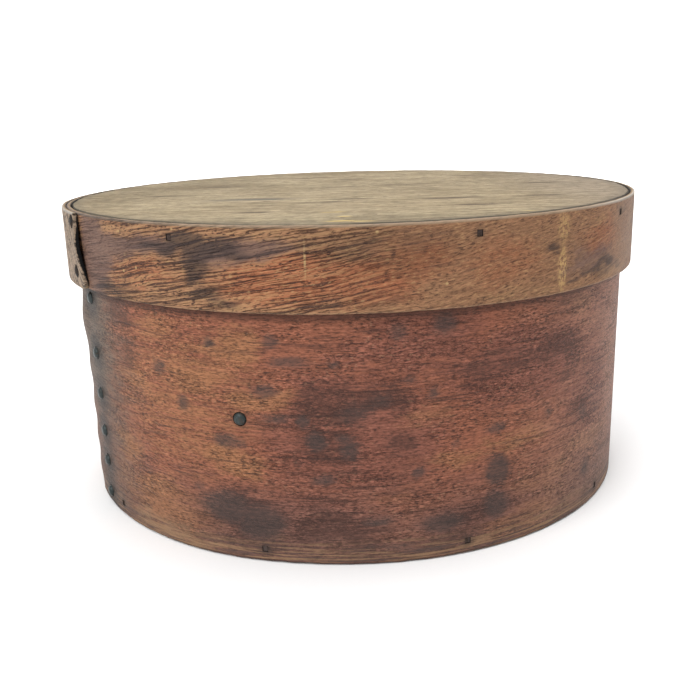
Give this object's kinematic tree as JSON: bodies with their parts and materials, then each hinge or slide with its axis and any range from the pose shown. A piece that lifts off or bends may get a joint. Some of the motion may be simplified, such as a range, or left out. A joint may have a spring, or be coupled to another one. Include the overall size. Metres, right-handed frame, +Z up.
{
  "type": "bentwood pantry box",
  "caption": "Round lidded box of bent wood strips with tacked laps and nailed round boards, for keeping dry food in a pantry.",
  "frame": {"origin": "centre of the round inside of the body, on the plane that the box stands on", "axes": "+Z up along the axis of the box, the way the lid lifts; -Y towards the front shown in the picture, with the laps at -X"},
  "size_m": [0.2402, 0.2388, 0.119],
  "materials": {
    "body_wood": "old worn varnish on bent wood, stained",
    "lid_wood": "worn varnish on open-grained bent wood",
    "board_wood": "bare aged wood, dull",
    "tack_iron": "dark aged iron",
    "nail_iron": "dark aged iron"
  },
  "bodies": {
    "box": {"body_band": "body_wood", "bottom_board": "board_wood", "body_lap_tacks": "tack_iron", "inner_lap_tack": "tack_iron", "bottom_nails": "nail_iron"},
    "lid": {"lid_band": "lid_wood", "lid_top_board": "board_wood", "lid_lap_tacks": "tack_iron", "lid_nails": "nail_iron"}
  },
  "joints": [
    {"name": "lid_lift", "type": "slide", "parent": "box", "child": "lid", "axis": [0, 0, 1], "range_m": [0, 0.2]}
  ]
}
